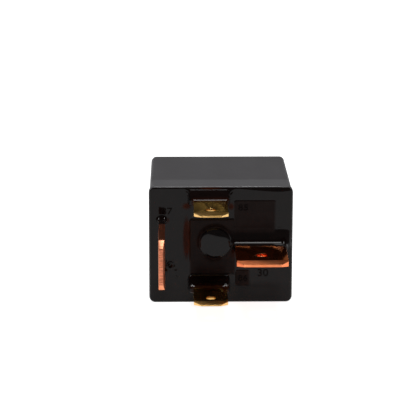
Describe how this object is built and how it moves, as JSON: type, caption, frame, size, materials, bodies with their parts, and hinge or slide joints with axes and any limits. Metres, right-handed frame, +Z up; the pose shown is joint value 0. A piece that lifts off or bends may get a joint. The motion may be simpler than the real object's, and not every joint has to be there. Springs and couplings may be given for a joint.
{
  "type": "automotive relay",
  "caption": "Sealed plug-in relay: square black plastic case, resin-sealed base and wide and narrow flat blade terminals, with a coil, yoke and hinged armature inside.",
  "frame": {"origin": "centre of the case's open rim, in the plane of the rim", "axes": "+Y runs into the case, so the blades point to -Y; +X is to the right of the terminal side; +Z is up as the relay lies on its long side"},
  "size_m": [0.0272, 0.0384, 0.0228],
  "materials": {
    "case_plastic": "satin black",
    "base_plastic": "black",
    "resin": "glossy black sealing resin",
    "copper_blade": "bare copper",
    "brass_blade": "bright brass",
    "soft_iron": "plated",
    "rivet_steel": "plated",
    "spring_steel": "bright wire",
    "bobbin_plastic": "natural",
    "enamelled_wire": "enamelled copper wire",
    "contact_alloy": "silver alloy",
    "leaf_bronze": "copper alloy strip",
    "braid_copper": "braided copper"
  },
  "bodies": {
    "relay_body": {"cover": "case_plastic", "base_plate": "base_plastic", "resin_seal": "resin", "terminal_30": "copper_blade", "terminal_87": "copper_blade", "terminal_85": "brass_blade", "terminal_86": "brass_blade", "yoke": "soft_iron", "yoke_rivets": "rivet_steel", "core": "soft_iron", "bobbin": "bobbin_plastic", "winding": "enamelled_wire", "coil_lead_85": "enamelled_wire", "coil_lead_86": "enamelled_wire", "fixed_contact": "contact_alloy", "back_stop": "brass_blade", "return_spring": "spring_steel", "braided_lead": "braid_copper"},
    "armature_body": {"armature": "soft_iron", "contact_spring": "leaf_bronze", "armature_rivets": "rivet_steel", "moving_contact": "contact_alloy"}
  },
  "joints": [
    {"name": "armature_pivot", "type": "hinge", "parent": "relay_body", "child": "armature_body", "pos_m": [0.0102, 0.0193, 0.0006], "axis": [0, 0, 1], "range_deg": [0, 2.4], "stiffness_Nm_per_rad": 0.03, "springref_deg": -5.73}
  ]
}
